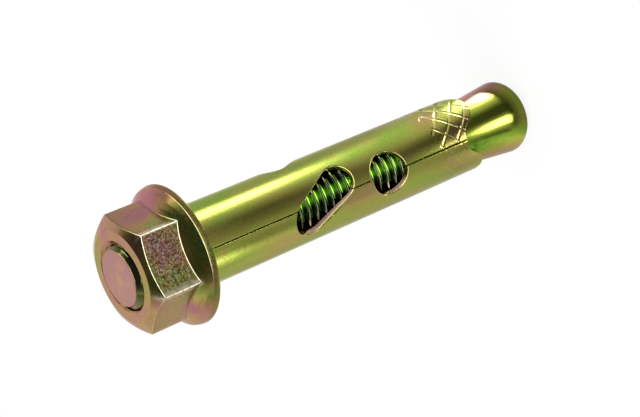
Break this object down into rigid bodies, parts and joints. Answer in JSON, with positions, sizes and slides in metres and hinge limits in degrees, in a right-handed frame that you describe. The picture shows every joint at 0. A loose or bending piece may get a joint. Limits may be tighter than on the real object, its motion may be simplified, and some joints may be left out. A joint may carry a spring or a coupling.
{
  "type": "sleeve anchor with flange nut",
  "caption": "Torque-tightened expansion anchor: a threaded stud with an expander cone, a rolled split sleeve with windows, and a hexagonal flange nut.",
  "frame": {"origin": "centre of the flat end of the cone, on which the anchor stands", "axes": "+Z along the stud's axis from the cone to the nut; the sleeve's seam faces -Y"},
  "size_m": [0.0204, 0.0204, 0.0736],
  "materials": {
    "stud": "yellow zinc, bright",
    "sleeve": "yellow zinc, bright",
    "flange_nut": "yellow zinc with a rose tint"
  },
  "bodies": {
    "stud": {"stud": "stud"},
    "sleeve": {"sleeve": "sleeve"},
    "nut": {"flange_nut": "flange_nut"}
  },
  "joints": [
    {"name": "sleeve_slide", "type": "slide", "parent": "stud", "child": "sleeve", "axis": [0, 0, 1], "range_m": [0, 0.0075]},
    {"name": "nut_turn", "type": "hinge", "parent": "sleeve", "child": "nut", "pos_m": [0, 0, 0.06444], "axis": [0, 0, 1], "range_deg": [0, 1800]}
  ],
  "couplings": [
    {"joint": "sleeve_slide", "follows": "nut_turn", "m_per_rad": 0.0002387}
  ]
}
